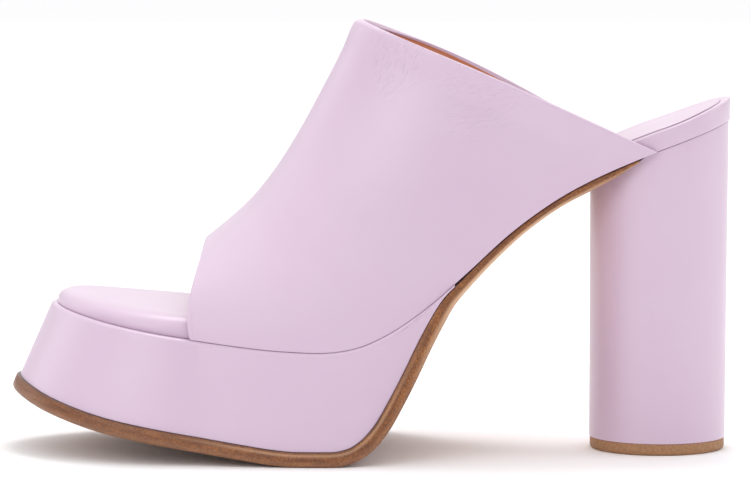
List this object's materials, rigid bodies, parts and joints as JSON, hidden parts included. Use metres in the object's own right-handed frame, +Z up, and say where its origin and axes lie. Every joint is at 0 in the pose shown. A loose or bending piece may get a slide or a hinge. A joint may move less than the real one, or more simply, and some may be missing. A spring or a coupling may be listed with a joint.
{
  "type": "platform mule",
  "caption": "Left platform mule: one-piece leather upper with open toe and back, leather-covered platform and footbed, leather outsole and tall round covered block heel.",
  "frame": {"origin": "on the floor under the middle of the shoe's length and width", "axes": "+X from the toe to the heel, +Y to the inner side of the foot, +Z up"},
  "size_m": [0.2412, 0.0992, 0.1439],
  "materials": {
    "sole_leather": "brown leather with a mottled, lightly polished edge",
    "cover_leather": "smooth lavender leather, soft gloss",
    "footbed_leather": "smooth pale lavender lining leather, softly padded",
    "sock_leather": "smooth pale lavender leather, satin",
    "lift_rubber": "tan, matte"
  },
  "bodies": {
    "root": {"outsole": "sole_leather", "platform": "cover_leather", "footbed": "footbed_leather", "heel_sock": "sock_leather", "upper": "cover_leather", "heel": "cover_leather", "top_lift": "lift_rubber"}
  },
  "joints": []
}
